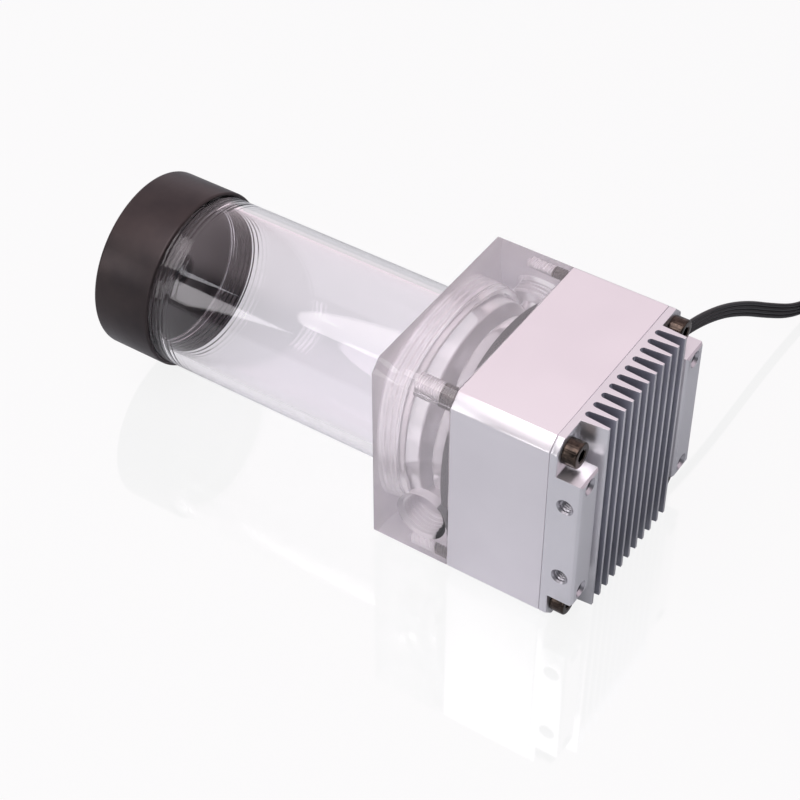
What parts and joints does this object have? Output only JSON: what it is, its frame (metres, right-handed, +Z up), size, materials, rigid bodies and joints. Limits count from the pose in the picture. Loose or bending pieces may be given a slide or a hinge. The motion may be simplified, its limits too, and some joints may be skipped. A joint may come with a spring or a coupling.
{
  "type": "coolant pump reservoir",
  "caption": "Coolant pump with a square finned aluminium housing, a clear block with threaded ports, and a clear tube reservoir closed by a black screw cap.",
  "frame": {"origin": "centre of the bounding box without the cable, on the surface that the side rests on", "axes": "+X along pump and tube, from the black cap to the fin tips; +Z up, away from the side that it lies on; the open outlet port is on the -Y side"},
  "size_m": [0.2198, 0.1909, 0.063],
  "materials": {
    "clear_acrylic": "clear polished acrylic",
    "silver_aluminium": "fine satin, silver anodised",
    "fin_aluminium": "machined satin",
    "dark_screw_steel": "black nickel plated",
    "black_acetal": "matte black, turned",
    "black_plug": "satin black",
    "black_rubber": "matte",
    "black_housing": "moulded satin black",
    "stainless": "drawn stainless",
    "ceramic": "polished ceramic",
    "laminated_steel": "stacked sheet",
    "copper_winding": "enamelled copper",
    "board_green": "solder mask",
    "board_component": "moulded black",
    "grey_pad": "soft silicone",
    "clear_silicone": "translucent silicone",
    "magnet_ferrite": "sintered",
    "carbon": "carbon graphite",
    "impeller_plastic": "moulded",
    "cable_jacket": "satin black insulation",
    "black_nylon": "moulded nylon",
    "brass_terminal": "tinned brass"
  },
  "bodies": {
    "pump": {"acrylic_block": "clear_acrylic", "reservoir_tube": "clear_acrylic", "pump_cover": "silver_aluminium", "heatsink": "fin_aluminium", "cover_screws": "dark_screw_steel", "tube_o_ring": "clear_silicone", "motor_housing": "black_housing", "pump_o_ring": "black_rubber", "separation_cup": "stainless", "bearing_post": "stainless", "bearing_ball": "ceramic", "stator_core": "laminated_steel", "stator_coils": "copper_winding", "circuit_board": "board_green", "board_parts": "board_component", "motor_lid": "fin_aluminium", "thermal_pad": "grey_pad", "cable_grommet": "black_rubber", "cable": "cable_jacket", "cable_coil": "cable_jacket", "cable_tail": "cable_jacket", "cable_connector": "black_nylon", "cable_terminals": "brass_terminal"},
    "rotor": {"impeller": "impeller_plastic", "rotor_magnet": "magnet_ferrite", "rotor_bearing": "carbon"},
    "cap_seal": {"cap_o_ring": "black_rubber"},
    "cap": {"cap": "black_acetal"},
    "fill_seal": {"fill_o_ring": "black_rubber"},
    "fill_plug": {"fill_plug": "black_plug"}
  },
  "joints": [
    {"name": "rotor_spin", "type": "hinge", "parent": "pump", "child": "rotor", "pos_m": [0.04345, 0, 0.0315], "axis": [1, 0, 0], "continuous": true},
    {"name": "cap_travel", "type": "slide", "parent": "pump", "child": "cap_seal", "axis": [-1, 0, 0], "range_m": [0, 0.0075]},
    {"name": "cap_turn", "type": "hinge", "parent": "cap_seal", "child": "cap", "pos_m": [-0.06755, 0, 0.0315], "axis": [-1, 0, 0], "range_deg": [0, 1800]},
    {"name": "fill_travel", "type": "slide", "parent": "cap", "child": "fill_seal", "axis": [-1, 0, 0], "range_m": [0, 0.00668]},
    {"name": "fill_turn", "type": "hinge", "parent": "fill_seal", "child": "fill_plug", "pos_m": [-0.07755, 0, 0.0315], "axis": [-1, 0, 0], "range_deg": [0, 1800]}
  ],
  "couplings": [
    {"joint": "cap_travel", "follows": "cap_turn", "m_per_rad": 0.0002387},
    {"joint": "fill_turn", "follows": "fill_travel", "rad_per_m": 4699.5}
  ]
}
